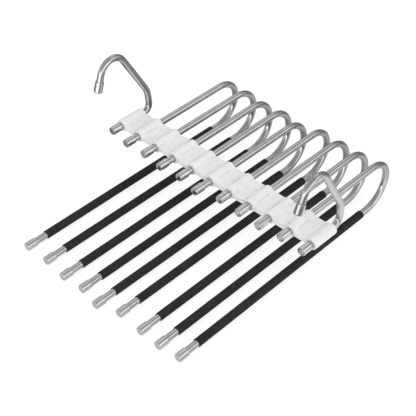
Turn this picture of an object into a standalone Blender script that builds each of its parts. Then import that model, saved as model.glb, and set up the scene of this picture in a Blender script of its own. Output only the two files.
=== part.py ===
"""Folding trouser rack: nine hairpin rods and two hooks pinned through a hinged plastic strip.

Metres, +Z up. The strip runs along X, the rods along Y with their open ends at -Y, and the rack
stands on the caps of its lower arms at Z = 0. The origin is on the floor under the middle of the
whole rack, so the middle of the strip lies at Y = STRIP_Y.
"""
import math

import bmesh
import bpy
from mathutils import Matrix, Vector

# Counts
ROD_COUNT = 9
PIN_COUNT = ROD_COUNT + 2
ROOT_ROD = 4
SIDES = 16
BEND_STEPS = 14
KNUCKLE_STEPS = 10
FILLET_STEPS = 3

# Clearances
SEAT_GAP = 0.0003
PIVOT_CLEARANCE = 0.0003
KNUCKLE_GAP = 0.0004
WEB_CLEARANCE = 0.0006

# Strip: links, knuckles and webs
PITCH = 0.030
STRIP_WIDTH = 0.0354
INNER_KNUCKLE_WIDTH = 0.0175
KNUCKLE_WALL = 0.0027
WEB_THICKNESS = 0.0072
KNUCKLE_FILLET_REACH = 0.0032
KNUCKLE_FILLET_START = math.radians(42)

# Moulded marks on top of the links: two dimples on the inner ones, a groove on the outer ones
DIMPLE_PLACES = ((-0.0038, 0.0012), (0.0038, 0.0046))
DIMPLE_FLOOR_RADIUS = 0.0009
DIMPLE_RIM_RADIUS = 0.0019
DIMPLE_DEPTH = 0.0007
DIMPLE_SIDES = 12
GROOVE_X = 0.0007
GROOVE_START = -0.005
GROOVE_WIDTH = 0.0009
GROOVE_DEPTH = 0.0006

# Bent tube of the rods and hooks
TUBE_RADIUS = 0.0042
BEAD_HEIGHT = 0.0008
BEAD_LENGTH = 0.0014
BEAD_SLOPE = 0.0004

# Hairpin rods
HAIRPIN_DROP = 0.067
BEND_REACH = 0.1299
BEND_BARE = 0.0084
SLEEVE_LENGTH = 0.2815
TIP_BARE = 0.0153
NECK = 0.0006
ROD_SLIDES = (0.0051, 0.0045, 0.0079, 0.0056, 0.0108, 0.0013, 0.0030, 0.0037, 0.0005)
ROD_LEANS_DEGREES = (4.5, 1.5, -1.0, -1.0, 0.0, 1.5, -2.5, -1.0, 1.5)

# Grip sleeves and end caps
SLEEVE_WALL = 0.0005
CAP_WALL = 0.0008
CAP_LENGTH = 0.0132
CAP_FLOOR = 0.0015
CAP_CHAMFER = 0.0007

# Hooks, each bent in one plane through its pin
HOOK_LEAN_DEGREES = 1.8
HOOK_SLIDES = {"left": 0.0, "right": 0.0013}
HOOK_FOOT_OUT = 0.0127
HOOK_FOOT_RADIUS = 0.0100
HOOK_FOOT_STEPS = 6
HOOK_KNEE_BACK = 0.0017
HOOK_KNEE_HEIGHT = 0.0280
HOOK_KNEE_RADIUS = 0.030
HOOK_KNEE_STEPS = 3
HOOK_CORNER_Y = -0.0264
HOOK_CORNER_HEIGHT = 0.1243
HOOK_CROOK_RADIUS = 0.019
HOOK_CROOK_STEPS = 10
HOOK_TIP_Y = -0.0476
HOOK_TIP_HEIGHT = 0.0642

# Finishes: colour, roughness, metallic
FINISHES = {
    "stainless_tube": ((0.62, 0.62, 0.61), 0.25, 1.0),
    "stainless_cap": ((0.66, 0.66, 0.65), 0.32, 1.0),
    "black_grip": ((0.018, 0.019, 0.021), 0.75, 0.0),
    "milky_plastic": ((0.86, 0.87, 0.87), 0.4, 0.0),
}

# Sizes that follow
FLAT = math.cos(math.pi / SIDES)
SLEEVE_BORE = TUBE_RADIUS + SEAT_GAP / FLAT
SLEEVE_RADIUS = SLEEVE_BORE + SLEEVE_WALL
CAP_BORE = TUBE_RADIUS + SEAT_GAP / FLAT
CAP_RADIUS = CAP_BORE + CAP_WALL
PIVOT_BORE = (TUBE_RADIUS + PIVOT_CLEARANCE) / FLAT
KNUCKLE_RADIUS = PIVOT_BORE + KNUCKLE_WALL
WEB_START = KNUCKLE_RADIUS + WEB_CLEARANCE
ARM_HEIGHT = max(SLEEVE_RADIUS, CAP_RADIUS) * FLAT
PIN_HEIGHT = ARM_HEIGHT + HAIRPIN_DROP
STRIP_FACE = STRIP_WIDTH / 2
BEAD_INNER = -STRIP_FACE - SEAT_GAP
BEAD_OUTER = BEAD_INNER - BEAD_LENGTH
TIP_RIM = BEND_REACH - BEND_BARE - SLEEVE_LENGTH - TIP_BARE
FAR_END = BEND_REACH - min(ROD_SLIDES) + HAIRPIN_DROP / 2 + TUBE_RADIUS * FLAT
OPEN_END = TIP_RIM - max(ROD_SLIDES) - CAP_LENGTH
STRIP_Y = -(FAR_END + OPEN_END) / 2
SHADE_ANGLE = math.radians(40)


def clear_scene():
    """Remove what the file holds."""
    for thing in list(bpy.data.objects):
        bpy.data.objects.remove(thing, do_unlink=True)


def make_material(name):
    """One Principled material."""
    colour, roughness, metallic = FINISHES[name]
    material = bpy.data.materials.new(name)
    material.use_nodes = True
    shader = material.node_tree.nodes["Principled BSDF"]
    shader.inputs["Base Color"].default_value = (*colour, 1.0)
    shader.inputs["Roughness"].default_value = roughness
    shader.inputs["Metallic"].default_value = metallic
    material.diffuse_color = (*colour, 1.0)
    return material


def finish_mesh(name, shape):
    """Turn a bmesh into a mesh with outward faces and smooth round sides."""
    bmesh.ops.recalc_face_normals(shape, faces=shape.faces)
    mesh = bpy.data.meshes.new(name)
    shape.to_mesh(mesh)
    shape.free()
    mesh.shade_smooth()
    mesh.set_sharp_from_angle(angle=SHADE_ANGLE)
    return mesh


def pin_x(index):
    """X of a pin axis: pins 0 and 10 carry the hooks, the others the rods."""
    return (index - (PIN_COUNT - 1) / 2) * PITCH


def ring_angles():
    """Corner angles of a round section, turned so that a flat faces down."""
    return [(step + 0.5) * 2 * math.pi / SIDES for step in range(SIDES)]


def skin_rings(shape, rings, closed):
    """Join neighbouring rings of corners with faces, and close the ends or the loop."""
    count = len(rings)
    for index in range(count if closed else count - 1):
        first = rings[index]
        second = rings[(index + 1) % count]
        for step in range(SIDES):
            after = (step + 1) % SIDES
            shape.faces.new((first[step], first[after], second[after], second[step]))
    if not closed:
        shape.faces.new(rings[0])
        shape.faces.new(rings[-1])


def turned_mesh(name, profile, closed):
    """Turn a profile of (along, radius) points about the Y axis."""
    shape = bmesh.new()
    rings = []
    for along, radius in profile:
        ring = []
        for angle in ring_angles():
            ring.append(shape.verts.new((radius * math.cos(angle), along, radius * math.sin(angle))))
        rings.append(ring)
    skin_rings(shape, rings, closed)
    return finish_mesh(name, shape)


def tube_mesh(name, stations):
    """Sweep a round section along stations of (Y, Z, radius), with a mitred ring at each bend."""
    places = [Vector((y, z)) for y, z, _ in stations]
    shape = bmesh.new()
    rings = []
    for index, (y, z, radius) in enumerate(stations):
        before = places[index] - places[max(index - 1, 0)]
        after = places[min(index + 1, len(places) - 1)] - places[index]
        if index == 0:
            before = after
        if index == len(places) - 1:
            after = before
        along = (before.normalized() + after.normalized()).normalized()
        mitre = 1 / max(along.dot(before.normalized()), 0.5)
        across = Vector((-along.y, along.x)) * mitre
        ring = []
        for angle in ring_angles():
            lift = radius * math.sin(angle)
            ring.append(shape.verts.new((radius * math.cos(angle), y + across.x * lift, z + across.y * lift)))
        rings.append(ring)
    skin_rings(shape, rings, closed=False)
    return finish_mesh(name, shape)


def arc_points(centre, radius, start, turn, steps):
    """Points of an arc in the Y-Z plane, both ends included."""
    points = []
    for step in range(steps + 1):
        angle = start + turn * step / steps
        points.append((centre.x + radius * math.cos(angle), centre.y + radius * math.sin(angle)))
    return points


def rounded_corner(before, corner, after, radius, steps):
    """Arc that rounds a corner between two straight runs, tangent to both."""
    inward = (before - corner).normalized()
    outward = (after - corner).normalized()
    half = inward.angle(outward) / 2
    centre = corner + (inward + outward).normalized() * (radius / math.sin(half))
    first = corner + inward * (radius / math.tan(half)) - centre
    last = corner + outward * (radius / math.tan(half)) - centre
    start = math.atan2(first.y, first.x)
    turn = (math.atan2(last.y, last.x) - start + math.pi) % (2 * math.pi) - math.pi
    return arc_points(centre, radius, start, turn, steps)


def bead_stations(end):
    """Pin end of a tube from its capped end at Y = end to the far side of the bead."""
    raised = TUBE_RADIUS + BEAD_HEIGHT
    return [
        (end, 0.0, TUBE_RADIUS),
        (BEAD_OUTER, 0.0, TUBE_RADIUS),
        (BEAD_OUTER + BEAD_SLOPE, 0.0, raised),
        (BEAD_INNER - BEAD_SLOPE, 0.0, raised),
        (BEAD_INNER, 0.0, TUBE_RADIUS),
    ]


def cap_tube_depth():
    """Length of tube that a cap swallows."""
    return CAP_LENGTH - CAP_FLOOR - SEAT_GAP


def pin_cap_rim(slide):
    """Y of the open rim of a cap on a pin end."""
    return BEAD_OUTER - NECK - slide


def tip_cap_rim(slide):
    """Y of the open rim of a cap on a lower arm."""
    return TIP_RIM - slide


def rod_mesh(name, slide):
    """Hairpin: pin arm with its bead, half-round bend, lower arm."""
    stations = bead_stations(pin_cap_rim(slide) - cap_tube_depth())
    centre = Vector((BEND_REACH - slide, -HAIRPIN_DROP / 2))
    for y, z in arc_points(centre, HAIRPIN_DROP / 2, math.pi / 2, -math.pi, BEND_STEPS):
        stations.append((y, z, TUBE_RADIUS))
    stations.append((tip_cap_rim(slide) - cap_tube_depth(), -HAIRPIN_DROP, TUBE_RADIUS))
    return tube_mesh(name, stations)


def hook_corners():
    """Corners of a hook's centreline, from the foot beside the strip to the cap's rim at the tip."""
    foot_y = STRIP_FACE + HOOK_FOOT_OUT
    foot = Vector((foot_y, 0.0))
    knee = Vector((foot_y - HOOK_KNEE_BACK, HOOK_KNEE_HEIGHT))
    corner = Vector((HOOK_CORNER_Y, HOOK_CORNER_HEIGHT))
    tip = Vector((HOOK_TIP_Y, HOOK_TIP_HEIGHT))
    rim = tip + (corner - tip).normalized() * CAP_LENGTH
    return foot, knee, corner, rim


def hook_mesh(name, slide):
    """Hook: pin with its bead, bend up beside the strip, slope back over it, crook and tip."""
    foot, knee, corner, rim = hook_corners()
    stations = bead_stations(pin_cap_rim(slide) - cap_tube_depth())
    points = rounded_corner(Vector((0.0, 0.0)), foot, knee, HOOK_FOOT_RADIUS, HOOK_FOOT_STEPS)
    points += rounded_corner(foot, knee, corner, HOOK_KNEE_RADIUS, HOOK_KNEE_STEPS)
    points += rounded_corner(knee, corner, rim, HOOK_CROOK_RADIUS, HOOK_CROOK_STEPS)
    end = rim + (rim - corner).normalized() * cap_tube_depth()
    points.append((end.x, end.y))
    for y, z in points:
        stations.append((y, z, TUBE_RADIUS))
    return tube_mesh(name, stations)


def cap_mesh(name):
    """Deep-drawn cap with its rim at Y = 0 and its closed end towards -Y."""
    profile = [
        (CAP_FLOOR - CAP_LENGTH, CAP_BORE),
        (0.0, CAP_BORE),
        (0.0, CAP_RADIUS),
        (CAP_CHAMFER - CAP_LENGTH, CAP_RADIUS),
        (-CAP_LENGTH, CAP_RADIUS - CAP_CHAMFER),
    ]
    return turned_mesh(name, profile, closed=False)


def sleeve_mesh(name):
    """Grip sleeve from Y = 0 back to minus its length."""
    profile = [
        (0.0, SLEEVE_BORE),
        (0.0, SLEEVE_RADIUS),
        (-SLEEVE_LENGTH, SLEEVE_RADIUS),
        (-SLEEVE_LENGTH, SLEEVE_BORE),
    ]
    return turned_mesh(name, profile, closed=True)


def knuckle_outline():
    """Knuckle outline in X-Z about its pin, blending into a web towards +X."""
    half = WEB_THICKNESS / 2
    upper = []
    for step in range(KNUCKLE_STEPS + 1):
        angle = math.pi - (math.pi - KNUCKLE_FILLET_START) * step / KNUCKLE_STEPS
        upper.append(Vector((KNUCKLE_RADIUS * math.cos(angle), KNUCKLE_RADIUS * math.sin(angle))))
    start = upper[-1]
    end = Vector((WEB_START + KNUCKLE_FILLET_REACH, half))
    bend = Vector((start.x + (start.y - half) * math.tan(KNUCKLE_FILLET_START), half))
    for step in range(1, FILLET_STEPS + 1):
        share = step / FILLET_STEPS
        first = start.lerp(bend, share)
        second = bend.lerp(end, share)
        upper.append(first.lerp(second, share))
    buried = Vector((end.x + half / 2, half / 2))
    upper.append(buried)
    lower = [Vector((point.x, -point.y)) for point in reversed(upper[1:])]
    return upper + lower


def add_prism(shape, outline, low, high):
    """Add a prism to a bmesh: an outline of (X, Z) points between two Y values."""
    front = [shape.verts.new((point.x, low, point.y)) for point in outline]
    back = [shape.verts.new((point.x, high, point.y)) for point in outline]
    count = len(outline)
    shape.faces.new(front)
    shape.faces.new(back)
    for index in range(count):
        after = (index + 1) % count
        shape.faces.new((front[index], front[after], back[after], back[index]))


def helper_object(name, shape):
    """Object that only shapes another one."""
    bmesh.ops.recalc_face_normals(shape, faces=shape.faces)
    mesh = bpy.data.meshes.new(name)
    shape.to_mesh(mesh)
    shape.free()
    helper = bpy.data.objects.new(name, mesh)
    helper.hide_render = True
    helper.display_type = "WIRE"
    bpy.context.scene.collection.objects.link(helper)
    return helper


def top_marks(inner):
    """Cutter for the marks on a web's top face: as far above that face as it is deep."""
    marks = bmesh.new()
    top = WEB_THICKNESS / 2
    if not inner:
        half = GROOVE_WIDTH
        outline = [Vector((GROOVE_X - half, top + GROOVE_DEPTH)), Vector((GROOVE_X + half, top + GROOVE_DEPTH))]
        outline += [Vector((GROOVE_X, top - GROOVE_DEPTH))]
        add_prism(marks, outline, GROOVE_START, STRIP_WIDTH)
        return marks
    for x, y in DIMPLE_PLACES:
        bmesh.ops.create_cone(
            marks,
            cap_ends=True,
            segments=DIMPLE_SIDES,
            radius1=DIMPLE_FLOOR_RADIUS,
            radius2=2 * DIMPLE_RIM_RADIUS - DIMPLE_FLOOR_RADIUS,
            depth=2 * DIMPLE_DEPTH,
            matrix=Matrix.Translation((x, y, top)),
        )
    return marks


def knuckle_spans(inner, full):
    """Y spans of a link's knuckles at one pin: all across, in the middle, or at both edges of the strip."""
    half = INNER_KNUCKLE_WIDTH / 2
    if full:
        return [(-STRIP_FACE, STRIP_FACE)]
    if inner:
        return [(-half, half)]
    start = half + KNUCKLE_GAP
    return [(-STRIP_FACE, -start), (start, STRIP_FACE)]


def link_mesh(name, inner, full_left, full_right):
    """Link about its own middle, with its pins half a pitch to each side."""
    web = bmesh.new()
    half = WEB_THICKNESS / 2
    edge = PITCH / 2 - WEB_START
    slab = [Vector((-edge, half)), Vector((edge, half)), Vector((edge, -half)), Vector((-edge, -half))]
    add_prism(web, slab, -STRIP_FACE, STRIP_FACE)
    blank = helper_object(name + "_web", web)

    knuckles = bmesh.new()
    left = [Vector((point.x - PITCH / 2, point.y)) for point in knuckle_outline()]
    right = [Vector((-point.x, point.y)) for point in left]
    for outline, full in ((left, full_left), (right, full_right)):
        for low, high in knuckle_spans(inner, full):
            add_prism(knuckles, outline, low, high)
    rolls = helper_object(name + "_knuckles", knuckles)

    bores = bmesh.new()
    for pin in (-PITCH / 2, PITCH / 2):
        circle = []
        for angle in ring_angles():
            circle.append(Vector((pin + PIVOT_BORE * math.cos(angle), PIVOT_BORE * math.sin(angle))))
        add_prism(bores, circle, -STRIP_WIDTH, STRIP_WIDTH)
    drills = helper_object(name + "_bores", bores)

    marks = helper_object(name + "_marks", top_marks(inner))

    for helper, operation in ((rolls, "UNION"), (drills, "DIFFERENCE"), (marks, "DIFFERENCE")):
        modifier = blank.modifiers.new(helper.name, "BOOLEAN")
        modifier.object = helper
        modifier.operation = operation
        modifier.solver = "EXACT"
    bpy.context.view_layer.update()
    graph = bpy.context.evaluated_depsgraph_get()
    mesh = bpy.data.meshes.new_from_object(blank.evaluated_get(graph))
    mesh.name = name
    mesh.materials.clear()
    mesh.shade_smooth()
    mesh.set_sharp_from_angle(angle=SHADE_ANGLE)
    for helper in (blank, rolls, drills, marks):
        bpy.data.objects.remove(helper, do_unlink=True)
    return mesh


def make_pivot(name, index, lean=0.0):
    """Empty on a pin axis that carries what turns about it, leaning by some degrees."""
    pivot = bpy.data.objects.new(name, None)
    pivot.empty_display_size = KNUCKLE_RADIUS
    pivot.location = (pin_x(index), STRIP_Y, PIN_HEIGHT)
    pivot.rotation_euler = (0.0, math.radians(lean), 0.0)
    bpy.context.scene.collection.objects.link(pivot)
    return pivot


def make_piece(name, mesh, material, pivot, location=(0.0, 0.0, 0.0), tilt=0.0):
    """Named sub-part under a pivot."""
    piece = bpy.data.objects.new(name, mesh)
    if not mesh.materials:
        mesh.materials.append(material)
    piece.parent = pivot
    piece.location = location
    piece.rotation_euler = (tilt, 0.0, 0.0)
    bpy.context.scene.collection.objects.link(piece)
    return piece


def build_rods(steel, cap_steel, rubber, cap_shape):
    """Nine hairpins with their sleeves and caps."""
    sleeve_shape = sleeve_mesh("grip_sleeve")
    for number in range(1, ROD_COUNT + 1):
        slide = ROD_SLIDES[number - 1]
        pivot = make_pivot(f"rod_pivot_{number}", number, ROD_LEANS_DEGREES[number - 1])
        make_piece(f"trouser_rod_{number}", rod_mesh(f"trouser_rod_{number}", slide), steel, pivot)
        sleeve_end = (0.0, BEND_REACH - BEND_BARE - slide, -HAIRPIN_DROP)
        make_piece(f"grip_sleeve_{number}", sleeve_shape, rubber, pivot, sleeve_end)
        tip_rim = (0.0, tip_cap_rim(slide), -HAIRPIN_DROP)
        make_piece(f"arm_tip_cap_{number}", cap_shape, cap_steel, pivot, tip_rim)
        make_piece(f"pin_cap_{number}", cap_shape, cap_steel, pivot, (0.0, pin_cap_rim(slide), 0.0))


def build_hooks(steel, cap_steel, cap_shape):
    """Two hooks, one on each end pin, leaning slightly outwards."""
    rim = hook_corners()[3]
    run = (rim - hook_corners()[2]).normalized()
    tilt = math.atan2(-run.y, -run.x)
    for side, index, outward in (("left", 0, -1), ("right", PIN_COUNT - 1, 1)):
        slide = HOOK_SLIDES[side]
        pivot = make_pivot(f"hook_pivot_{side}", index, outward * HOOK_LEAN_DEGREES)
        make_piece(f"hook_{side}", hook_mesh(f"hook_{side}", slide), steel, pivot)
        make_piece(f"hook_tip_cap_{side}", cap_shape, cap_steel, pivot, (0.0, rim.x, rim.y), tilt)
        make_piece(f"hook_pin_cap_{side}", cap_shape, cap_steel, pivot, (0.0, pin_cap_rim(slide), 0.0))


def build_links(plastic):
    """Ten links, inner and outer knuckles by turns, each hung on its pin nearest the root rod."""
    shapes = {}
    for number in range(1, PIN_COUNT):
        key = (number % 2 == 1, number == 1, number == PIN_COUNT - 1)
        if key not in shapes:
            shapes[key] = link_mesh(f"strip_link_shape_{number}", *key)
        pin, side = (number - 1, 1) if number > ROOT_ROD else (number, -1)
        pivot = make_pivot(f"link_pivot_{number}", pin)
        make_piece(f"strip_link_{number}", shapes[key], plastic, pivot, (side * PITCH / 2, 0.0, 0.0))


def main():
    """Build the whole rack."""
    clear_scene()
    steel = make_material("stainless_tube")
    cap_steel = make_material("stainless_cap")
    cap_shape = cap_mesh("end_cap")
    build_rods(steel, cap_steel, make_material("black_grip"), cap_shape)
    build_hooks(steel, cap_steel, cap_shape)
    build_links(make_material("milky_plastic"))


main()
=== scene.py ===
"""Trouser rack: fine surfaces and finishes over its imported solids.

Metres, +Z up. The strip runs along X, the rods along Y with their open ends at -Y, and the rack
stands on the caps of its lower arms at Z = 0. Each piece is worked out about its own pin, with Y
measured from the middle of the strip, and then set in place in its mesh, so its object stays at
the origin. Leans, creases and bands are in degrees, tilts and turns in radians.
"""
import math

import bmesh
import bpy
import numpy as np
from mathutils import Matrix, Vector


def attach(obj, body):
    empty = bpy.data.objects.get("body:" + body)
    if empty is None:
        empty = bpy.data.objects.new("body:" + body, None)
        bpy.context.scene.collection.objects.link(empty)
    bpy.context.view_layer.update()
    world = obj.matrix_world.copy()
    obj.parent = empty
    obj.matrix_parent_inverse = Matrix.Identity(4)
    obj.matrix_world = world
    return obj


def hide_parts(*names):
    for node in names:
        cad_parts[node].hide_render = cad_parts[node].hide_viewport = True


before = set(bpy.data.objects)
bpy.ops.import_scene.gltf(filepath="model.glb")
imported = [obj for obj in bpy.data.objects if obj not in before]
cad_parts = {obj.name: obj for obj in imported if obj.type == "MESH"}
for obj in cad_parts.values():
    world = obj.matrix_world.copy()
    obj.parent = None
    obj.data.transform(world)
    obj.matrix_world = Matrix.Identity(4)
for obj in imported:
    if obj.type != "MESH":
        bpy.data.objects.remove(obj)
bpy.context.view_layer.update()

# Layout shared with the solids
ROD_COUNT = 9
PIN_COUNT = ROD_COUNT + 2
PITCH = 0.030
PIN_HEIGHT = 0.072204
STRIP_Y = 0.0161403
ROD_SLIDES = (0.0051, 0.0045, 0.0079, 0.0056, 0.0108, 0.0013, 0.0030, 0.0037, 0.0005)
ROD_LEANS = (4.5, 1.5, -1.0, -1.0, 0.0, 1.5, -2.5, -1.0, 1.5)
HOOK_LEAN = 1.8
HOOK_SLIDES = {"left": 0.0, "right": 0.0013}

# Links: each has knuckles about its pins and a flat web between them
STRIP_FACE = 0.0177
INNER_KNUCKLE_FACE = 0.00875
KNUCKLE_GAP = 0.00002
KNUCKLE_RADIUS = 0.00728
BLEND_ANGLE = 42.0
WEB_START = 0.00734
WEB_FLARE = 0.00046
WEB_BLEND = 0.01108
WEB_HALF = 0.0036
EDGE_ROUND = 0.0004
SEAM_ROUND = 0.00004
CORNER_ROUND = 0.00015
ROUND_TURNS = (0, 25, 50, 72, 90)
LINK_BORE = 0.00450
DRILL_REACH = 0.03
WELD_DISTANCE = 1e-6
SLIVER_LENGTH = 1e-7

# Points along the upper half of a link's outline: the roll of a knuckle or the hollow of a plain
# end, its blend into the web, the part of that blend that is a plain end's corner, and the web
ROLL_POINTS = 18
BLEND_POINTS = 18
CORNER_POINTS = 7
WEB_POINTS = 40
# Rings across a link's width: their steps, and how far from the faces they start and stop
WIDE_STEP = 0.0014
CLOSE_STEP = 0.0005
EDGE_MARGIN = 0.0015
START_MARGIN = 0.0012
STOP_MARGIN = 0.0008

# Marks on top of the links: two bowls on the inner ones, a groove on the outer ones
DIMPLE_PLACES = ((-0.0038, 0.0012), (0.0038, 0.0046))
DIMPLE_RADIUS = 0.0019
DIMPLE_DEPTH = 0.0006
DIMPLE_POWER = 0.8
# How far round each bowl the shade painted into the plastic's colour reaches
BOWL_SHADE_REACH = 2.2 * DIMPLE_RADIUS
GROOVE_X = 0.0007
GROOVE_START = -0.005
GROOVE_RUN_IN = 0.0008
GROOVE_HALF_WIDTH = 0.00045
GROOVE_DEPTH = 0.0004
MARKS_FROM_PIN = 0.0088

# Tubes and their beads
TUBE_RADIUS = 0.00414
BEAD_HEIGHT = 0.0008
BEAD_INNER = -0.0180
BEAD_OUTER = -0.0194
BEFORE_BEAD = 0.0001
TUBE_END_STEP = 0.0005
HAIRPIN_DROP = 0.067
BEND_REACH = 0.1299
BEND_BARE = 0.0084
TIP_BARE = 0.0153
NECK = 0.0006
# Corners of a hook's centreline in Y-Z about its pin, and the radii that round them
HOOK_CORNERS = np.array([(0.0304, 0.0), (0.0287, 0.0280), (-0.0264, 0.12415), (-0.0476, 0.0642)])
HOOK_RADII = (0.0100, 0.030, 0.019)

# Caps
CAP_LENGTH = 0.0132
CAP_FLOOR = 0.0015
CAP_RADIUS = 0.00519
CAP_BORE = 0.00428
CAP_SHOULDER = 0.0011
CAP_DISH = 0.00022
CAP_CORNER = 0.0003
BESIDE_CURVE = 0.0004
POLE_RADIUS = 0.0004
TUBE_IN_CAP = 0.0114

# Foam sleeves, and the waves in their skin: height, radians per metre, share of the short one
SLEEVE_LENGTH = 0.2815
SLEEVE_RADIUS = 0.00503
SLEEVE_BORE = 0.00426
NOSE_REACH = 0.0012
CUT_ROUND = 0.0004
SLEEVE_CHAMFER = 0.0001
BORE_CHAMFER = 0.0002
SKIN_DEPTH = 0.00005
WAVE_HEIGHT = 0.00004
LONG_WAVE = 61
WAVE_TWIST = 23
SHORT_WAVE = 173
SHORT_SHARE = 0.6
WAVE_SHIFT = 1.7

# Fineness of the round pieces: sides round them, and points along their curves and straights
ROUND_SIDES = 40
DRILL_SIDES = 48
BEAD_POINTS = 13
BEND_POINTS = 49
UPPER_ARM_POINTS = 14
LOWER_ARM_POINTS = 24
HOOK_BEND_POINTS = (15, 9, 33)
HOOK_RUN_POINTS = (3, 2, 10, 4)
LIP_POINTS = 9
SHOULDER_POINTS = 7
DISH_POINTS = 6
SLEEVE_POINTS = 90
NOSE_POINTS = 7

# Angles between faces past which an edge is shaded sharp
TUBE_CREASE = 50
CAP_CREASE = 45
SLEEVE_CREASE = 40
LINK_CREASE = 38

# Shades between which a finish is clouded
WHITE = (1.0, 1.0, 1.0)
DRAWN_STEEL = ((0.57, 0.57, 0.567), (0.67, 0.67, 0.667))
TURNED_STEEL = ((0.65, 0.65, 0.647), (0.76, 0.76, 0.757))
BLACK_FOAM = ((0.0170, 0.0181, 0.0198), (0.0290, 0.0308, 0.0335))
MILKY_PLASTIC = ((0.765, 0.767, 0.768), (0.815, 0.817, 0.818))
# Grey towards which shade is painted into the plastic in and around the bowls
BOWL_SHADE_COLOUR = (0.73, 0.735, 0.74)
PALE_FLOOR = ((0.24, 0.24, 0.24), (0.26, 0.26, 0.26))

# Brightness of the dome by degrees about the Y axis, for directions along +Y and across the rack
ALONG_BANDS = (
    (-180, 0.30), (-90, 0.50), (-66, 0.52), (-46, 0.68), (-26, 0.80), (-12, 0.74),
    (0, 0.52), (12, 0.38), (22, 0.37), (32, 0.48), (42, 0.85), (50, 1.25),
    (56, 1.42), (62, 1.32), (70, 0.95), (80, 0.50), (93, 0.25), (105, 0.24),
)
ACROSS_BANDS = (
    (-180, 0.30), (-100, 0.75), (-80, 0.75), (-62, 0.50), (-48, 0.42), (0, 0.44), (31, 0.34),
    (45, 0.48), (58, 0.86), (70, 1.25), (80, 1.42), (92, 1.30), (106, 0.40),
)
# Y of a direction, from -1 in front of the rack to 1 behind it: where the bands across give way to
# those along, where the gain in front fades out, and where the dimming behind sets in
ACROSS_TO_ALONG = (0.30, 0.46)
FRONT_FADE = (-0.94, -0.85)
BEHIND_FADE = (0.58, 0.95)
# What the dome gains straight in front, and the share of its brightness left straight behind
FRONT_GAIN = 1.1
BEHIND_SHARE = 0.35

# Floor, and how the steel mirrors it: grey, with pools of more or less light as (X, Y, inner
# radius, outer radius, strength)
FLOOR_HALF = 3.0
FLOOR_GLOW = 0.82
FLOOR_IN_STEEL = 0.25
FLOOR_POOLS = (
    (0.45, -2.10, 1.12, 1.42, 1.2), (0.21, 0.07, 0.07, 0.17, 0.7), (0.0, -0.20, 0.13, 0.24, 0.38),
    (0.0, 3.16, 2.96, 3.01, 0.28), (0.0, 3.36, 2.98, 3.10, -0.30), (0.72, 0.38, 0.22, 0.42, 0.8),
)

# Softboxes as (name, place, width, depth, watts), all aimed at one point
SOFTBOXES = (
    ("softbox_top", (0.0, 0.1, 1.5), 1.8, 1.8, 8.5),
    ("softbox_front", (-0.4, -1.3, 0.9), 1.4, 0.9, 8.0),
    ("softbox_right", (1.3, 0.3, 0.7), 1.2, 0.6, 4.0),
)
SOFTBOX_AIM = (0.0, 0.0, 0.05)

# Camera: its angles, how far it stands from its aim, the aim and its slide to the left and down
CAMERA_AZIMUTH = 43.953
CAMERA_ELEVATION = 41.915
CAMERA_DISTANCE = 1.1962
CAMERA_AIM = (0.0, STRIP_Y + 0.0029, PIN_HEIGHT - 0.020)
SLIDE_LEFT = 0.01633
SLIDE_DOWN = 0.02577
SENSOR_WIDTH = 36.0
FOCAL_PIXELS = 1023.5
PHOTO_WIDTH = 416


def pin_x(index):
    """X of a pin: pins 0 and 10 carry the hooks, the others the rods."""
    return (index - (PIN_COUNT - 1) / 2) * PITCH


def show(mesh, body, stands_for, finish):
    """Add a finished piece that rides on a body and stands for one of the solids."""
    piece = bpy.data.objects.new(mesh.name, mesh)
    bpy.context.scene.collection.objects.link(piece)
    mesh.materials.clear()
    mesh.materials.append(finish)
    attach(piece, body)
    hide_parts(stands_for)


def on_pin(points, lean, index):
    """Turn points about a pin's axis by a lean, then move them to that pin."""
    cosine, sine = math.cos(math.radians(lean)), math.sin(math.radians(lean))
    x = points[..., 0] * cosine + points[..., 2] * sine + pin_x(index)
    z = points[..., 2] * cosine - points[..., 0] * sine + PIN_HEIGHT
    return np.stack((x, points[..., 1] + STRIP_Y, z), axis=-1)


def faces_out(points, faces):
    """True if quads wind outwards: the sum of their corner products is a positive volume."""
    a, b, c, d = (points[faces[:, k]] for k in range(4))
    return np.sum(a * np.cross(b, c)) + np.sum(a * np.cross(c, d)) > 0


def ring_quads(count, around, looped):
    """Quads over rings of points: corner j of ring i joins corner j + 1 and ring i + 1.

    Gives the ring and the corner of each of a quad's four points, and their place in the mesh.
    """
    rows = np.arange(count if looped else count - 1)
    i, j = np.meshgrid(rows, np.arange(around), indexing="ij")
    ring = i.reshape(-1, 1) + (0, 1, 1, 0)
    corner = j.reshape(-1, 1) + (0, 0, 1, 1)
    return ring, corner, ring % count * around + corner % around


def ring_skin(name, rings, length, girth, looped):
    """Mesh over rings of points.

    Rings that don't loop end in a pole at the middle of each end ring. The map "lay" holds the
    metres along the piece and the metres round it at every corner.
    """
    count, around = rings.shape[:2]
    ring, corner, quads = ring_quads(count, around, looped)
    lay = np.stack((length[ring], girth[corner]), axis=2)
    points = rings.reshape(-1, 3)
    flip = not faces_out(points, quads)
    if flip:
        quads, lay = quads[:, ::-1], lay[:, ::-1]
    faces, corners = quads.tolist(), [lay.reshape(-1, 2)]
    if not looped:
        k = np.arange(around)
        after = (k + 1) % around
        for end, pole, turn in ((0, len(points), flip), (count - 1, len(points) + 1, not flip)):
            first, second = (after, k) if turn else (k, after)
            start = end * around
            fan = np.stack((np.full(around, pole), start + first, start + second), axis=1)
            faces += fan.tolist()
            across = np.stack((girth[first], girth[first], girth[second]), axis=1)
            along = np.full_like(across, length[end])
            corners.append(np.stack((along, across), axis=2).reshape(-1, 2))
        points = np.concatenate((points, rings[[0, -1]].mean(axis=1)))
    mesh = bpy.data.meshes.new(name)
    mesh.from_pydata(points.tolist(), [], faces)
    layer = mesh.uv_layers.new(name="lay")
    layer.data.foreach_set("uv", np.concatenate(corners).ravel())
    return mesh


def smoothed(mesh, crease):
    """Shade a mesh smooth, apart from the edges that are sharper than an angle."""
    mesh.shade_smooth()
    mesh.set_sharp_from_angle(angle=math.radians(crease))
    return mesh


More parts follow.
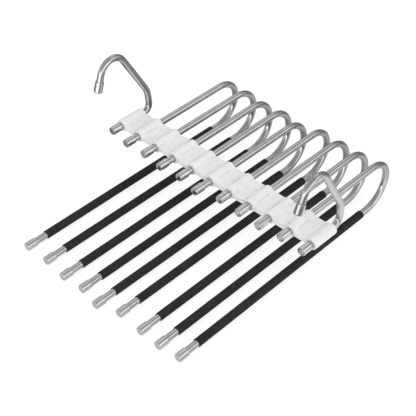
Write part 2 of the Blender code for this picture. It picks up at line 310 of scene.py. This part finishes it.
def carried_rings(path, tangent, radius, sides):
    """Rings carried along a path in Y-Z.

    Each point is the path's point plus its radius times cosine along X and sine along the path's
    normal, which is the tangent turned a quarter.
    """
    angle = np.linspace(0.0, 2 * math.pi, sides, endpoint=False)
    radius = np.broadcast_to(np.asarray(radius, float).T, (sides, len(path))).T
    lift = radius * np.sin(angle)
    y = path[:, :1] - tangent[:, 1:] * lift
    z = path[:, 1:] + tangent[:, :1] * lift
    return np.stack((radius * np.cos(angle), y, z), axis=2)


def turned_rings(profile, sides):
    """Rings of a profile of (Y, radius) turned about the Y axis."""
    path = np.stack((profile[:, 0], np.zeros(len(profile))), axis=1)
    tangent = np.broadcast_to((1.0, 0.0), path.shape)
    return carried_rings(path, tangent, profile[:, 1:], sides)


def travelled(path):
    """Metres along a path at each of its points: the running sum of its steps."""
    return np.concatenate(([0.0], np.cumsum(np.hypot(*np.diff(path, axis=0).T))))


def round_the_girth(radius, sides):
    """Metres round a section at each corner, with the first corner repeated at the full turn."""
    return np.linspace(0.0, 2 * math.pi * radius, sides + 1)


def straight(start, end, count):
    """Evenly spaced points from one to the other, both left out."""
    share = np.linspace(0.0, 1.0, count + 2)[1:-1, None]
    return np.asarray(start) * (1 - share) + np.asarray(end) * share


def eased(start, bend, end, count):
    """Quadratic blend from a start to an end, drawn towards a bend; the start is left out.

    Each point is the start times the square of the share left, the bend times twice the product
    of both shares, and the end times the square of the share gone.
    """
    gone = np.linspace(0.0, 1.0, count + 1)[1:, None]
    left = 1 - gone
    drawn = np.asarray(start) * left ** 2 + np.asarray(bend) * 2 * gone * left
    return drawn + np.asarray(end) * gone ** 2


def arc(centre, radius, start, turn, count):
    """Arc: the centre plus the radius times cosine and sine of an evenly stepped angle."""
    angle = start + turn * np.linspace(0.0, 1.0, count)
    across = centre[0] + radius * np.cos(angle)
    return np.stack((across, centre[1] + radius * np.sin(angle)), axis=1)


def rounded_corner(before, corner, after, radius, count):
    """Arc tangent to both runs at a corner, its centre on the line that halves the corner."""
    inward = (before - corner) / np.hypot(*(before - corner))
    outward = (after - corner) / np.hypot(*(after - corner))
    half = math.acos(float(inward @ outward)) / 2
    middle = inward + outward
    centre = corner + middle / np.hypot(*middle) * radius / math.sin(half)
    first = corner + inward * radius / math.tan(half) - centre
    last = corner + outward * radius / math.tan(half) - centre
    start = math.atan2(first[1], first[0])
    turn = (math.atan2(last[1], last[0]) - start + math.pi) % (2 * math.pi) - math.pi
    return arc(centre, radius, start, turn, count)


def pin_cap_rim(slide):
    """Y of the open rim of a cap on a pin end."""
    return BEAD_OUTER - NECK - slide


def tip_cap_rim(slide):
    """Y of the open rim of a cap on a lower arm."""
    return BEND_REACH - BEND_BARE - SLEEVE_LENGTH - TIP_BARE - slide


def rod_course(slide):
    """Upper arm, half circle and lower arm of a hairpin rod, from the bead to the capped tip."""
    bend = (BEND_REACH - slide, -HAIRPIN_DROP / 2)
    half = arc(bend, HAIRPIN_DROP / 2, math.pi / 2, -math.pi, BEND_POINTS)
    tip = (tip_cap_rim(slide) - TUBE_IN_CAP, -HAIRPIN_DROP)
    upper = straight((BEAD_INNER, 0.0), half[0], UPPER_ARM_POINTS)
    lower = straight(half[-1], tip, LOWER_ARM_POINTS)
    return np.concatenate((upper, half, lower, [tip]))


def hook_course():
    """Foot, knee and crook of a hook, each corner rounded, from the bead to the capped tip.

    Gives the course, the place of the tip cap's rim and the cap's tilt.
    """
    corner, tip = HOOK_CORNERS[-2:]
    down = (tip - corner) / np.hypot(*(tip - corner))
    rim = tip - down * CAP_LENGTH
    end = rim + down * TUBE_IN_CAP
    stops = np.concatenate(([(0.0, 0.0)], HOOK_CORNERS[:-1], [rim]))
    parts, last = [], (BEAD_INNER, 0.0)
    for bend, (radius, points) in enumerate(zip(HOOK_RADII, HOOK_BEND_POINTS)):
        turn = rounded_corner(*stops[bend:bend + 3], radius, points)
        parts += [straight(last, turn[0], HOOK_RUN_POINTS[bend]), turn]
        last = turn[-1]
    parts += [straight(last, end, HOOK_RUN_POINTS[-1]), [end]]
    return np.concatenate(parts), rim, math.atan2(-down[1], -down[0])


def tube_mesh(name, pin_rim, course, lean, index):
    """Bent tube: a pin from inside its cap, a rolled bead at the strip, then the rest of it.

    The radius is the tube's, and over the bead it grows by a flattened half oval: the height times
    the root of one minus the cube of the distance from the bead's middle, as a share of its half.
    """
    share = -np.cos(np.linspace(0.0, math.pi, BEAD_POINTS))
    middle, half = (BEAD_INNER + BEAD_OUTER) / 2, (BEAD_INNER - BEAD_OUTER) / 2
    bead = np.stack((middle + half * share, np.zeros(BEAD_POINTS)), axis=1)
    grown = TUBE_RADIUS + BEAD_HEIGHT * (1 - np.abs(share) ** 3) ** 0.5
    end = pin_rim - TUBE_IN_CAP
    pin = [(end, 0.0), (end + TUBE_END_STEP, 0.0), (BEAD_OUTER - BEFORE_BEAD, 0.0)]
    path = np.concatenate((pin, bead, course))
    radius = np.concatenate(([TUBE_RADIUS] * len(pin), grown, [TUBE_RADIUS] * len(course)))
    tangent = np.gradient(path, axis=0)
    tangent /= np.hypot(*tangent.T)[:, None]
    rings = on_pin(carried_rings(path, tangent, radius[:, None], ROUND_SIDES), lean, index)
    girth = round_the_girth(TUBE_RADIUS, ROUND_SIDES)
    return smoothed(ring_skin(name, rings, travelled(path), girth, False), TUBE_CREASE)


def cap_profile():
    """Deep-drawn cap as (Y, radius) with its rim at Y = 0.

    Bore, half-round rolled lip, wall, quarter-round shoulder, and an end whose dish deepens by the
    root of one minus the square of the radius, as a share of the flat's.
    """
    lip = (CAP_RADIUS - CAP_BORE) / 2
    floor = CAP_FLOOR - CAP_LENGTH
    turn_in = CAP_SHOULDER - CAP_LENGTH
    flat = CAP_RADIUS - CAP_SHOULDER
    beside_lip = -lip - BESIDE_CURVE
    inside = [(floor, POLE_RADIUS), (floor, CAP_BORE - CAP_CORNER), (floor + CAP_CORNER, CAP_BORE)]
    inside += [(beside_lip, CAP_BORE)]
    rim = arc((-lip, CAP_BORE + lip), lip, -math.pi / 2, math.pi, LIP_POINTS)
    wall = [(beside_lip, CAP_RADIUS), (turn_in + BESIDE_CURVE, CAP_RADIUS)]
    crown = arc((turn_in, flat), CAP_SHOULDER, math.pi / 2, math.pi / 2, SHOULDER_POINTS)
    radius = np.linspace(flat - CAP_CORNER, POLE_RADIUS, DISH_POINTS)
    dip = CAP_DISH * (1 - (radius / flat) ** 2) ** 0.5
    return np.concatenate((inside, rim, wall, crown, np.stack((dip - CAP_LENGTH, radius), axis=1)))


def tilted(points, tilt, move):
    """Turn points about X by a tilt, then move them in Y and Z."""
    cosine, sine = math.cos(tilt), math.sin(tilt)
    y = points[..., 1] * cosine - points[..., 2] * sine + move[0]
    z = points[..., 1] * sine + points[..., 2] * cosine + move[1]
    return np.stack((points[..., 0], y, z), axis=-1)


def cap_mesh(name, rim, lean, index, tilt=0.0):
    """Cap with its rim at a place in Y-Z about a pin, its closed end back along its own axis."""
    profile = cap_profile()
    rings = on_pin(tilted(turned_rings(profile, ROUND_SIDES), tilt, rim), lean, index)
    girth = round_the_girth(CAP_RADIUS, ROUND_SIDES)
    return smoothed(ring_skin(name, rings, travelled(profile), girth, False), CAP_CREASE)


def sleeve_profile(back):
    """Sleeve as (Y, radius) from its rounded end at Y = back, closed on itself.

    Outer wall, cut end, bore and quarter-round nose.
    """
    front = back - SLEEVE_LENGTH
    wall = np.linspace(back - NOSE_REACH, front + CUT_ROUND, SLEEVE_POINTS)
    outer = np.stack((wall, np.full(SLEEVE_POINTS, SLEEVE_RADIUS)), axis=1)
    cut = [(front + SLEEVE_CHAMFER, SLEEVE_RADIUS - SLEEVE_CHAMFER)]
    cut += [(front, SLEEVE_RADIUS - CUT_ROUND), (front, SLEEVE_BORE + SLEEVE_CHAMFER)]
    bore = [(front + BORE_CHAMFER, SLEEVE_BORE), (back - BORE_CHAMFER, SLEEVE_BORE)]
    size = SLEEVE_RADIUS - SLEEVE_BORE - SLEEVE_CHAMFER
    nose = arc((back - size, SLEEVE_RADIUS - size), size, 0.0, math.pi / 2, NOSE_POINTS)[:-1]
    return np.concatenate((outer, cut, bore, nose))


def sleeve_mesh(name, slide, lean, index):
    """Sleeve whose outer wall swells and sinks a little.

    The swelling is a sine along it times a cosine round it that twists on its way, plus a share of
    a shorter sine of both.
    """
    profile = sleeve_profile(BEND_REACH - BEND_BARE - slide)
    angle = np.linspace(0.0, 2 * math.pi, ROUND_SIDES, endpoint=False)[None, :]
    along = profile[:, :1]
    shift = index * WAVE_SHIFT
    wave = np.sin(along * LONG_WAVE + shift) * np.cos(angle + along * WAVE_TWIST + shift)
    wave = wave + SHORT_SHARE * np.sin(along * SHORT_WAVE - 2 * angle + shift)
    outer = profile[:, 1:] > SLEEVE_RADIUS - SKIN_DEPTH
    radius = profile[:, 1:] + np.where(outer, WAVE_HEIGHT * wave, 0.0)
    path = np.stack((profile[:, 0], np.full(len(profile), -HAIRPIN_DROP)), axis=1)
    rings = carried_rings(path, np.broadcast_to((1.0, 0.0), path.shape), radius, ROUND_SIDES)
    length = travelled(np.concatenate((profile, profile[:1])))
    girth = round_the_girth(SLEEVE_RADIUS, ROUND_SIDES)
    mesh = ring_skin(name, on_pin(rings, lean, index), length, girth, True)
    return smoothed(mesh, SLEEVE_CREASE)


def end_outline(knuckle, edge_in, web_in):
    """Upper outline of a link's end about its pin in X-Z, from its tip to the flat of the web.

    A knuckle is an arc about the pin and a quadratic blend down to the web. A plain end is hollowed
    to go round the neighbour's knuckle, on a radius that grows with the fourth power of the height,
    then turns a corner and follows the web. edge_in and web_in move them inwards.
    """
    half = WEB_HALF - web_in
    if not knuckle:
        z = np.append(np.linspace(0.0, half - CORNER_ROUND, ROLL_POINTS), half)
        x = np.sqrt((WEB_START + WEB_FLARE * (z / WEB_HALF) ** 4) ** 2 - z ** 2) + edge_in
        hollow = np.stack((x[:-1], z[:-1]), axis=1)
        end = (x[-1] + 1.5 * CORNER_ROUND, half)
        corner = eased(hollow[-1], (x[-1], half), end, CORNER_POINTS)
        rest = BLEND_POINTS - CORNER_POINTS
        top = np.stack((np.linspace(end[0], WEB_BLEND, rest + 1)[1:], np.full(rest, half)), axis=1)
        return np.concatenate((hollow, corner, top))
    meet = math.radians(BLEND_ANGLE)
    roll = arc((0.0, 0.0), KNUCKLE_RADIUS - edge_in, math.pi, meet - math.pi, ROLL_POINTS)
    start = roll[-1]
    bend = (start[0] + (start[1] - half) * math.tan(meet), half)
    return np.concatenate((roll, eased(start, bend, (WEB_BLEND, half), BLEND_POINTS)))


def link_ring(left_knuckle, right_knuckle, left_in, right_in, web_in):
    """Closed outline of a link in X-Z about its middle: the top from left to right, then back."""
    left = end_outline(left_knuckle, left_in, web_in) - (PITCH / 2, 0.0)
    right = (end_outline(right_knuckle, right_in, web_in) - (PITCH / 2, 0.0))[::-1] * (-1, 1)
    flat = np.linspace(WEB_BLEND - PITCH / 2, PITCH / 2 - WEB_BLEND, WEB_POINTS + 2)[1:-1]
    web = np.stack((flat, np.full(WEB_POINTS, WEB_HALF - web_in)), axis=1)
    upper = np.concatenate((left, web, right))
    return np.concatenate((upper, upper[-2:0:-1] * (1, -1)))


def rounding(size):
    """Steps of a quarter-round edge: pairs of (how far from the face, how far inwards)."""
    turns = np.radians(ROUND_TURNS)
    return [(size * (1 - math.sin(turn)), size * (1 - math.cos(turn))) for turn in turns]


def crossing(place, left, right):
    """Rings at a face inside a link, where each knuckle that begins or ends is rounded off.

    left and right say whether that side has a knuckle before and after the face.
    """
    edges = rounding(SEAM_ROUND)
    rings = []
    for zone, steps, way in ((0, edges, -1), (1, edges[::-1], 1)):
        for away, inset in steps:
            insets = [inset if side[0] != side[1] and side[zone] else 0.0 for side in (left, right)]
            rings.append((place + way * away, left[zone], right[zone], *insets, 0.0))
    return rings


def link_stations(inner, full_left, full_right):
    """Rings along a link's width, in three zones parted by the faces of the inner knuckles.

    Each is (Y, left knuckle, right knuckle, left inset, right inset, web inset).
    """
    face = INNER_KNUCKLE_FACE + (0.0 if inner else KNUCKLE_GAP)
    zones = [not inner, inner, not inner]
    left = [True] * 3 if full_left else zones
    right = [True] * 3 if full_right else zones
    spans = (
        (EDGE_MARGIN - STRIP_FACE, -face, WIDE_STEP),
        (START_MARGIN - face, face, CLOSE_STEP),
        (START_MARGIN + face, STRIP_FACE, WIDE_STEP),
    )
    edges = rounding(EDGE_ROUND)
    rings = [(away - STRIP_FACE, left[0], right[0], *[inset] * 3) for away, inset in edges[::-1]]
    for zone, (start, stop, step) in enumerate(spans):
        if zone:
            face_before = spans[zone - 1][1]
            rings += crossing(face_before, left[zone - 1:zone + 1], right[zone - 1:zone + 1])
        for y in np.arange(start, stop - STOP_MARGIN, step):
            rings.append((y, left[zone], right[zone], 0.0, 0.0, 0.0))
    return rings + [(STRIP_FACE - away, left[2], right[2], *[inset] * 3) for away, inset in edges]


def top_marks(x, y, inner):
    """Depth of the moulded marks.

    On an inner link two round bowls, each one minus the square of the distance to a power; on an
    outer one a groove whose section is a parabola, with a sloping start.
    """
    if not inner:
        across = np.clip(1 - ((x - GROOVE_X) / GROOVE_HALF_WIDTH) ** 2, 0, 1)
        return GROOVE_DEPTH * across * np.clip((y - GROOVE_START) / GROOVE_RUN_IN, 0, 1)
    depth = 0.0
    for middle_x, middle_y in DIMPLE_PLACES:
        away = np.hypot(x - middle_x, y - middle_y) / DIMPLE_RADIUS
        depth = depth + DIMPLE_DEPTH * np.clip(1 - away ** 2, 0, 1) ** DIMPLE_POWER
    return depth


def paint_bowl_shade(mesh, inner):
    """Map of painted shade over a link: one at the middle of each bowl, less by the distance
    squared.
    """
    points = np.empty(len(mesh.vertices) * 3)
    mesh.vertices.foreach_get("co", points)
    x, y, z = points.reshape(-1, 3).T
    bowl_shade = np.zeros(len(x))
    for middle_x, middle_y in DIMPLE_PLACES if inner else ():
        away = np.hypot(x - middle_x, y - middle_y) / BOWL_SHADE_REACH
        bowl_shade += np.where(z > 0, np.clip(1 - away ** 2, 0, 1), 0.0)
    mesh.attributes.new("bowl_shade", "FLOAT", "POINT").data.foreach_set("value", bowl_shade)


def drill_mesh(place):
    """Round bar along Y at an X, turned by half a side, so no edge of it is level with the pin."""
    profile = np.array([(-DRILL_REACH, LINK_BORE), (DRILL_REACH, LINK_BORE)])
    rings = turned_rings(profile, DRILL_SIDES)
    cosine, sine = math.cos(math.pi / DRILL_SIDES), math.sin(math.pi / DRILL_SIDES)
    x = rings[..., 0] * cosine - rings[..., 2] * sine + place
    z = rings[..., 0] * sine + rings[..., 2] * cosine
    rings = np.stack((x, rings[..., 1], z), axis=-1)
    girth = round_the_girth(LINK_BORE, DRILL_SIDES)
    return ring_skin("link_drill", rings, travelled(profile), girth, False)


def helper(mesh):
    """Object that only shapes another one."""
    thing = bpy.data.objects.new(mesh.name, mesh)
    bpy.context.scene.collection.objects.link(thing)
    return thing


def link_blank(inner, full_left, full_right):
    """Link about its own middle before it is drilled.

    Outlines carried across its width, lowered by the marks, with a flat face at each end.
    """
    stations = link_stations(inner, full_left, full_right)
    outline = np.stack([link_ring(*station[1:]) for station in stations])
    count, around = outline.shape[:2]
    x, z = outline[..., 0], outline[..., 1]
    y = np.broadcast_to(np.array([station[0] for station in stations])[:, None], x.shape)
    marked = (z > 0) & (np.abs(x) < PITCH / 2 - MARKS_FROM_PIN)
    z = z - np.where(marked, top_marks(x, y, inner), 0.0)
    quads = ring_quads(count, around, False)[2][:, ::-1]
    first, last = np.arange(around), (count - 1) * around + np.arange(around)
    faces = quads.tolist() + [first.tolist(), last[::-1].tolist()]
    mesh = bpy.data.meshes.new("link_blank")
    mesh.from_pydata(np.stack((x, y, z), axis=2).reshape(-1, 3).tolist(), [], faces)
    shape = bmesh.new()
    shape.from_mesh(mesh)
    bmesh.ops.remove_doubles(shape, verts=shape.verts, dist=WELD_DISTANCE)
    bmesh.ops.dissolve_degenerate(shape, dist=SLIVER_LENGTH, edges=shape.edges)
    bmesh.ops.recalc_face_normals(shape, faces=shape.faces)
    shape.to_mesh(mesh)
    shape.free()
    return mesh


def link_shape(inner, full_left, full_right):
    """Moulded link about its own middle, drilled at both pins."""
    blank = helper(link_blank(inner, full_left, full_right))
    drills = []
    for place in (-PITCH / 2, PITCH / 2):
        drills.append(helper(drill_mesh(place)))
        cut = blank.modifiers.new("bore", "BOOLEAN")
        cut.object = drills[-1]
        cut.operation = "DIFFERENCE"
        cut.solver = "EXACT"
    graph = bpy.context.evaluated_depsgraph_get()
    mesh = bpy.data.meshes.new_from_object(blank.evaluated_get(graph))
    for thing in (blank, *drills):
        bpy.data.objects.remove(thing, do_unlink=True)
    smoothed(mesh, LINK_CREASE)
    # Painted shade: a map of how much the colour darkens in and around the bowls
    paint_bowl_shade(mesh, inner)
    return mesh


def put(tree, kind, inputs=None, **settings):
    """Add a shader node with its settings and its unlinked inputs."""
    node = tree.nodes.new(kind)
    for key, value in settings.items():
        setattr(node, key, value)
    for key, value in (inputs or {}).items():
        node.inputs[key].default_value = value
    return node


def new_finish(name, **values):
    """Principled finish with the values that are the same all over set on the shader."""
    finish = bpy.data.materials.new(name)
    finish.use_nodes = True
    shader = finish.node_tree.nodes["Principled BSDF"]
    for key, value in values.items():
        shader.inputs[key.replace("_", " ")].default_value = value
    return finish, finish.node_tree, shader


def grain(tree, source, per_metre, detail=3.0, roughness=0.55):
    """Noise over a piece, with one scale per metre for each of its three directions."""
    mapping = put(tree, "ShaderNodeMapping", {"Scale": per_metre})
    look = {"Scale": 1.0, "Detail": detail, "Roughness": roughness}
    noise = put(tree, "ShaderNodeTexNoise", look)
    tree.links.new(source, mapping.inputs["Vector"])
    tree.links.new(mapping.outputs["Vector"], noise.inputs["Vector"])
    return noise.outputs["Fac"]


def ranged(tree, source, low, high, start=0.3, end=0.7):
    """A value that goes from low to high while its source goes from start to end."""
    spread = {"From Min": start, "From Max": end, "To Min": low, "To Max": high}
    node = put(tree, "ShaderNodeMapRange", spread)
    tree.links.new(source, node.inputs["Value"])
    return node.outputs["Result"]


def blended(tree, source, first, second):
    """Colour between two, by a factor."""
    node = put(tree, "ShaderNodeMix", data_type="RGBA")
    node.inputs["A"].default_value = (*first, 1.0)
    node.inputs["B"].default_value = (*second, 1.0)
    tree.links.new(source, node.inputs["Factor"])
    return node.outputs["Result"]


def clouded(tree, place, shades, per_metre, detail=3.0):
    """Colour between two shades, in soft clouds."""
    clouds = grain(tree, place, (per_metre,) * 3, detail)
    return blended(tree, ranged(tree, clouds, 0.0, 1.0), *shades)


def raised(tree, shader, source, depth, strength):
    """Bump of a height in metres."""
    node = put(tree, "ShaderNodeBump", {"Strength": strength, "Distance": depth})
    tree.links.new(source, node.inputs["Height"])
    tree.links.new(node.outputs["Normal"], shader.inputs["Normal"])


def mix_shaders(tree, share, first, second, output):
    """Feed an output with two shaders mixed by a share."""
    either = put(tree, "ShaderNodeMixShader")
    tree.links.new(share, either.inputs["Fac"])
    tree.links.new(first, either.inputs[1])
    tree.links.new(second, either.inputs[2])
    tree.links.new(either.outputs["Shader"], output.inputs["Surface"])


def steel_finish(name, shades, streaks, roughness):
    """Bright steel with fine marks, so many streaks per metre along and round the piece."""
    finish, tree, shader = new_finish(name, Metallic=1.0)
    lay = put(tree, "ShaderNodeUVMap", uv_map="lay").outputs["UV"]
    place = put(tree, "ShaderNodeTexCoord").outputs["Object"]
    lines = grain(tree, lay, per_metre=(*streaks, 1.0))
    tree.links.new(clouded(tree, place, shades, per_metre=70.0), shader.inputs["Base Color"])
    tree.links.new(ranged(tree, lines, *roughness), shader.inputs["Roughness"])
    raised(tree, shader, lines, depth=0.00002, strength=0.12)
    return finish


def grip_finish():
    """Black closed-cell foam: dark mottling, tiny cells and a dusty sheen."""
    finish, tree, shader = new_finish(
        "black_foam", Sheen_Weight=0.01, Sheen_Roughness=0.5, Specular_IOR_Level=0.12)
    place = put(tree, "ShaderNodeTexCoord").outputs["Object"]
    cells = grain(tree, place, per_metre=(1700.0, 1700.0, 1700.0), roughness=0.6)
    mottled = clouded(tree, place, BLACK_FOAM, per_metre=260.0, detail=4.0)
    tree.links.new(mottled, shader.inputs["Base Color"])
    tree.links.new(ranged(tree, cells, low=0.65, high=0.86), shader.inputs["Roughness"])
    raised(tree, shader, cells, depth=0.00012, strength=0.6)
    return finish


def strip_finish():
    """Milky moulded plastic: cloudy shade, satin skin with a faint ripple, light that sinks in, and
    shade painted into its colour in and around the bowls.
    """
    finish, tree, shader = new_finish(
        "milky_plastic", Subsurface_Weight=0.2, Subsurface_Scale=0.0010, Subsurface_Radius=WHITE,
        Specular_IOR_Level=0.35)
    place = put(tree, "ShaderNodeTexCoord").outputs["Object"]
    ripple = grain(tree, place, per_metre=(420.0, 420.0, 420.0))
    # Painted shade: the colour darkens towards a grey in and around the bowls of the inner links
    bowl_shade = put(tree, "ShaderNodeAttribute", attribute_name="bowl_shade").outputs["Fac"]
    bowl_shade_share = ranged(tree, bowl_shade, low=0.0, high=0.7, start=0.0, end=1.0)
    marked = blended(tree, bowl_shade_share, WHITE, BOWL_SHADE_COLOUR)
    milky = clouded(tree, place, MILKY_PLASTIC, per_metre=110.0)
    tree.links.new(milky, marked.node.inputs["A"])
    tree.links.new(marked, shader.inputs["Base Color"])
    tree.links.new(ranged(tree, ripple, low=0.42, high=0.58), shader.inputs["Roughness"])
    raised(tree, shader, ripple, depth=0.00012, strength=0.3)
    return finish


def dress_rods(tube, cap, foam):
    """Nine rods, each with its sleeve and two caps."""
    for number, (slide, lean) in enumerate(zip(ROD_SLIDES, ROD_LEANS), start=1):
        body = f"rod_{number}"
        pin_rim, tip_rim = pin_cap_rim(slide), tip_cap_rim(slide)
        mesh = tube_mesh(f"hairpin_tube_{number}", pin_rim, rod_course(slide), lean, number)
        show(mesh, body, f"trouser_rod_{number}", tube)
        mesh = sleeve_mesh(f"foam_sleeve_{number}", slide, lean, number)
        show(mesh, body, f"grip_sleeve_{number}", foam)
        mesh = cap_mesh(f"drawn_tip_cap_{number}", (tip_rim, -HAIRPIN_DROP), lean, number)
        show(mesh, body, f"arm_tip_cap_{number}", cap)
        mesh = cap_mesh(f"drawn_pin_cap_{number}", (pin_rim, 0.0), lean, number)
        show(mesh, body, f"pin_cap_{number}", cap)


def dress_hooks(tube, cap):
    """Two hooks, leaning outwards, each with two caps."""
    course, tip_rim, tilt = hook_course()
    for side, index, lean in (("left", 0, -HOOK_LEAN), ("right", PIN_COUNT - 1, HOOK_LEAN)):
        body = f"hook_{side}"
        pin_rim = pin_cap_rim(HOOK_SLIDES[side])
        mesh = tube_mesh(f"hook_tube_{side}", pin_rim, course, lean, index)
        show(mesh, body, f"hook_{side}", tube)
        mesh = cap_mesh(f"drawn_hook_cap_{side}", tip_rim, lean, index, tilt)
        show(mesh, body, f"hook_tip_cap_{side}", cap)
        mesh = cap_mesh(f"drawn_foot_cap_{side}", (pin_rim, 0.0), lean, index)
        show(mesh, body, f"hook_pin_cap_{side}", cap)


def dress_links(plastic):
    """Ten links of four shapes, each midway between its two pins."""
    shapes = {}
    for number in range(1, PIN_COUNT):
        key = (number % 2 == 1, number == 1, number == PIN_COUNT - 1)
        if key not in shapes:
            shapes[key] = link_shape(*key)
        mesh = shapes[key].copy()
        mesh.transform(Matrix.Translation((pin_x(number - 0.5), STRIP_Y, PIN_HEIGHT)))
        mesh.name = f"moulded_link_{number}"
        show(mesh, f"link_{number}", f"strip_link_{number}", plastic)


def lay_floor():
    """Plain white floor, lit a little from below, that mirrors as pale grey in the steel."""
    mesh = bpy.data.meshes.new("studio_floor")
    corners = [(FLOOR_HALF * x, FLOOR_HALF * y, 0) for x, y in ((-1, -1), (1, -1), (1, 1), (-1, 1))]
    mesh.from_pydata(corners, [], [(0, 1, 2, 3)])
    floor = bpy.data.objects.new("studio_floor", mesh)
    bpy.context.scene.collection.objects.link(floor)
    finish, tree, shader = new_finish(
        "pale_floor", Roughness=0.9, Specular_IOR_Level=0.0, Emission_Color=(*WHITE, 1.0),
        Emission_Strength=FLOOR_GLOW)
    place = put(tree, "ShaderNodeTexCoord").outputs["Object"]
    clouds = grain(tree, place, per_metre=(3.0, 3.0, 3.0), detail=2.0)
    tree.links.new(blended(tree, clouds, *PALE_FLOOR), shader.inputs["Base Color"])
    level = put(tree, "ShaderNodeValue")
    level.outputs[0].default_value = FLOOR_IN_STEEL
    for x, y, inner, outer, strength in FLOOR_POOLS:
        away = put(tree, "ShaderNodeVectorMath", {1: (x, y, 0.0)}, operation="DISTANCE")
        tree.links.new(place, away.inputs[0])
        pool = ranged(tree, away.outputs["Value"], strength, 0.0, inner, outer)
        total = put(tree, "ShaderNodeMath", operation="ADD")
        tree.links.new(level.outputs[0], total.inputs[0])
        tree.links.new(pool, total.inputs[1])
        level = total
    mirrored = put(tree, "ShaderNodeEmission", {"Color": (*WHITE, 1.0)})
    tree.links.new(level.outputs[0], mirrored.inputs["Strength"])
    in_steel = put(tree, "ShaderNodeLightPath").outputs["Is Glossy Ray"]
    output = tree.nodes["Material Output"]
    mix_shaders(tree, in_steel, shader.outputs["BSDF"], mirrored.outputs["Emission"], output)
    mesh.materials.append(finish)


def aimed(thing, place, target):
    """Put a light or the camera at a place, looking at a target with its top up."""
    thing.location = place
    thing.rotation_euler = (Vector(target) - Vector(place)).to_track_quat("-Z", "Y").to_euler()
    bpy.context.scene.collection.objects.link(thing)


def softbox(name, place, width, depth, power):
    """Rectangular soft light that the steel doesn't mirror."""
    lamp = bpy.data.lights.new(name, "AREA")
    lamp.shape = "RECTANGLE"
    lamp.size, lamp.size_y, lamp.energy = width, depth, power
    thing = bpy.data.objects.new(name, lamp)
    thing.visible_glossy = False
    aimed(thing, place, SOFTBOX_AIM)


def band_shades(tree, turn, bands):
    """Shades of grey over a full turn, given as pairs of degrees and brightness."""
    ramp = put(tree, "ShaderNodeValToRGB")
    tree.links.new(turn, ramp.inputs["Fac"])
    stops = ramp.color_ramp.elements
    stops.remove(stops[1])
    stops[0].position = 0.0
    for degrees, level in bands:
        stop = stops[0] if degrees == -180 else stops.new(degrees / 360 + 0.5)
        stop.color = (level, level, level, 1.0)
    return ramp.outputs["Color"]


def light_the_room():
    """Dome with long bands of brightness beside the rods, and softboxes for the matt pieces.

    The bands follow the angle about the Y axis, from straight up at 0 to +X at 90 degrees.
    """
    world = bpy.data.worlds.new("studio")
    bpy.context.scene.world = world
    world.use_nodes = True
    tree = world.node_tree
    dome = tree.nodes["Background"]
    way = put(tree, "ShaderNodeTexCoord").outputs["Generated"]
    split = put(tree, "ShaderNodeSeparateXYZ")
    tree.links.new(way, split.inputs["Vector"])
    angle = put(tree, "ShaderNodeMath", operation="ARCTAN2")
    tree.links.new(split.outputs["X"], angle.inputs[0])
    tree.links.new(split.outputs["Z"], angle.inputs[1])
    turn = ranged(tree, angle.outputs["Value"], 0.0, 1.0, -math.pi, math.pi)
    depth = split.outputs["Y"]
    shade = blended(tree, ranged(tree, depth, 0.0, 1.0, *ACROSS_TO_ALONG), WHITE, WHITE)
    tree.links.new(band_shades(tree, turn, ACROSS_BANDS), shade.node.inputs["A"])
    tree.links.new(band_shades(tree, turn, ALONG_BANDS), shade.node.inputs["B"])
    tree.links.new(shade, dome.inputs["Color"])
    strength = put(tree, "ShaderNodeMath", operation="MULTIPLY")
    in_front = ranged(tree, depth, 1.0 + FRONT_GAIN, 1.0, *FRONT_FADE)
    behind = ranged(tree, depth, 1.0, BEHIND_SHARE, *BEHIND_FADE)
    tree.links.new(in_front, strength.inputs[0])
    tree.links.new(behind, strength.inputs[1])
    tree.links.new(strength.outputs[0], dome.inputs["Strength"])
    plain = put(tree, "ShaderNodeBackground", {"Color": (*WHITE, 1.0)})
    seen = put(tree, "ShaderNodeLightPath").outputs["Is Camera Ray"]
    output = tree.nodes["World Output"]
    mix_shaders(tree, seen, dome.outputs["Background"], plain.outputs["Background"], output)
    for box in SOFTBOXES:
        softbox(*box)


def place_camera():
    """Camera at the photograph's angle, its aim slid sideways and down in its own picture plane."""
    azimuth, elevation = math.radians(CAMERA_AZIMUTH), math.radians(CAMERA_ELEVATION)
    level = math.cos(elevation)
    back = Vector((math.sin(azimuth) * level, -math.cos(azimuth) * level, math.sin(elevation)))
    right = Vector((math.cos(azimuth), math.sin(azimuth), 0.0))
    up = back.cross(right)
    target = Vector(CAMERA_AIM) - right * SLIDE_LEFT - up * SLIDE_DOWN
    lens = bpy.data.cameras.new("photo_camera")
    lens.sensor_width = SENSOR_WIDTH
    lens.lens = SENSOR_WIDTH * FOCAL_PIXELS / PHOTO_WIDTH
    camera = bpy.data.objects.new("photo_camera", lens)
    aimed(camera, target + back * CAMERA_DISTANCE, target)
    bpy.context.scene.camera = camera


drawn_steel = steel_finish(
    "drawn_steel", DRAWN_STEEL, streaks=(45.0, 2600.0), roughness=(0.14, 0.22))
turned_steel = steel_finish(
    "turned_steel", TURNED_STEEL, streaks=(2200.0, 60.0), roughness=(0.08, 0.16))
dress_rods(drawn_steel, turned_steel, grip_finish())
dress_hooks(drawn_steel, turned_steel)
dress_links(strip_finish())
lay_floor()
light_the_room()
place_camera()
bpy.context.scene.view_settings.view_transform = "Standard"
